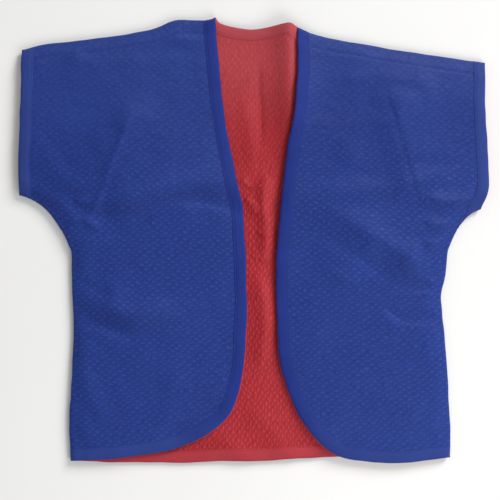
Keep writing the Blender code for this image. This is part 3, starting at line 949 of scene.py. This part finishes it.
def edging(label, path, inward, part, node, finish, looks, peek=0.0, width=BAND):
    """The edging of a free edge, on both faces. peek is how far the lower one shows past the upper one.
    Inside the vest, the red one ends a little before the closed seams."""
    made = []
    colours = ("red", "blue") if part == "back" else ("blue", "red")
    for colour, up, shown in zip(colours, (1, -1), (0.0, peek)):
        short = RED_SHORT if colour == "red" and label not in ("neck", "hem") else 0.0
        profile, look = band_profile(up, width), looks[f"{colour}_{finish}"]
        obj = strip(f"{label}_{colour}_edging", path, inward, part, profile, look, peek=shown, short=short)
        made.append(attach(obj, part, [f"{colour}_{node}"]))
    return made


def build_vest(looks):
    parts = {part: build_part(part, looks) for part in ("back", "right", "left")}
    pieces = {part: [] for part in parts}
    for side, sign in (("right", 1), ("left", -1)):
        half = SIDES[side]
        front, cuff = half["front"], half["cuff"]
        edge = f"{side}_front", front, -sign, side, f"front_band_{side}"
        pieces[side] += edging(*edge, "tape", looks, PEEK)
        # The cuffs' edging has a painted haze of glare from end to end.
        pieces[side] += edging(f"{side}_cuff_front", cuff, sign, side, f"cuff_front_{side}", "worn", looks)
        pieces["back"] += edging(f"{side}_cuff_back", cuff, sign, "back", f"cuff_back_{side}", "worn", looks)
        rows = (
            ("front", -sign, STITCH_IN, 0.0002, (0.004, 0.004)),
            ("cuff", sign, STITCH_IN, 0.0002, (0.004, 0.004)),
            ("shoulder", sign, SHOULDER_STITCH, -0.0005, (0.022, 0.018)),
        )
        for row, inward, inset, lift, ends in rows:
            name, thread = f"{side}_{row}_stitches", looks["blue_thread"]
            obj = stitches(name, half[row], inward, side, thread, inset, lift, ends)
            pieces[side].append(attach(obj, side, [f"{row}_topstitch_{side}"]))
        for seam in CLOSED:
            tape = looks["seam_tape"]
            obj = strip(f"{side}_{seam}_seam_tape", half[seam], sign, side, TAPE_PROFILE, tape, reach=0.0)
            attach(obj, "back", [f"{seam}_tape_{side}"])
    # The neck's edging has a painted haze from end to end; the hem's has it past a stretch of its length.
    for row, path, inward, width, finish in (
        ("neck", NECK, -1, NECK_BAND, "worn"), ("hem", HEM, 1, BAND, "tape"),
    ):
        pieces["back"] += edging(row, path, inward, "back", f"{row}_band", finish, looks, width=width)
        inset, thread = STITCH_IN * width / BAND, looks["red_thread"]
        obj = stitches(f"{row}_stitches", path, inward, "back", thread, inset, 0.0002, (0.012, 0.012))
        pieces["back"].append(attach(obj, "back", [f"{row}_topstitch"]))
    return parts, pieces


# --- floor, light and camera ---


def studio():
    """A plain floor just under the vest, a pale sky and two soft lamps that point at the vest."""
    mesh = bpy.data.meshes.new("floor")
    corners = [(x * FLOOR_HALF, y * FLOOR_HALF, 0) for x, y in ((-1, -1), (1, -1), (1, 1), (-1, 1))]
    mesh.from_pydata(corners, [], [(0, 1, 2, 3)])
    floor = bpy.data.objects.new("floor", mesh)
    floor.location.z = -0.0004
    mesh.materials.append(floor_material())
    bpy.context.scene.collection.objects.link(floor)

    world = bpy.data.worlds.new("studio")
    world.use_nodes = True
    sky = world.node_tree.nodes["Background"].inputs
    sky["Color"].default_value = (0.96, 0.98, 1.0, 1)
    sky["Strength"].default_value = 0.46
    bpy.context.scene.world = world
    bpy.context.scene.view_settings.view_transform = "Standard"

    for name, place_at, size, power, colour in LAMPS:
        light = bpy.data.lights.new(name, "AREA")
        light.shape = "SQUARE"
        light.size = size
        light.energy = power
        light.color = colour
        lamp = bpy.data.objects.new(name, light)
        lamp.location = place_at
        lamp.rotation_euler = (-Vector(place_at)).to_track_quat("-Z", "Y").to_euler()
        bpy.context.scene.collection.objects.link(lamp)


def camera():
    """Straight above the vest, with +Y up the picture, which is 0.75 m wide."""
    data = bpy.data.cameras.new("camera")
    data.lens = 72
    data.sensor_width = 36
    obj = bpy.data.objects.new("camera", data)
    obj.location = CAMERA_AT
    bpy.context.scene.collection.objects.link(obj)
    bpy.context.scene.camera = obj


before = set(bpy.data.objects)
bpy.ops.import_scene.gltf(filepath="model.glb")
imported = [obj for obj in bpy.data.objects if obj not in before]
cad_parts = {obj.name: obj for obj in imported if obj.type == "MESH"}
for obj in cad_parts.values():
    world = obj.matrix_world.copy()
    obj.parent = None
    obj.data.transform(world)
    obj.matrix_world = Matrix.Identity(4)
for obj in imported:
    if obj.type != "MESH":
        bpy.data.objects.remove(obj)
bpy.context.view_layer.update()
looks = build_materials()
crease("right")
crease("left")
parts, pieces = build_vest(looks)
studio()
camera()
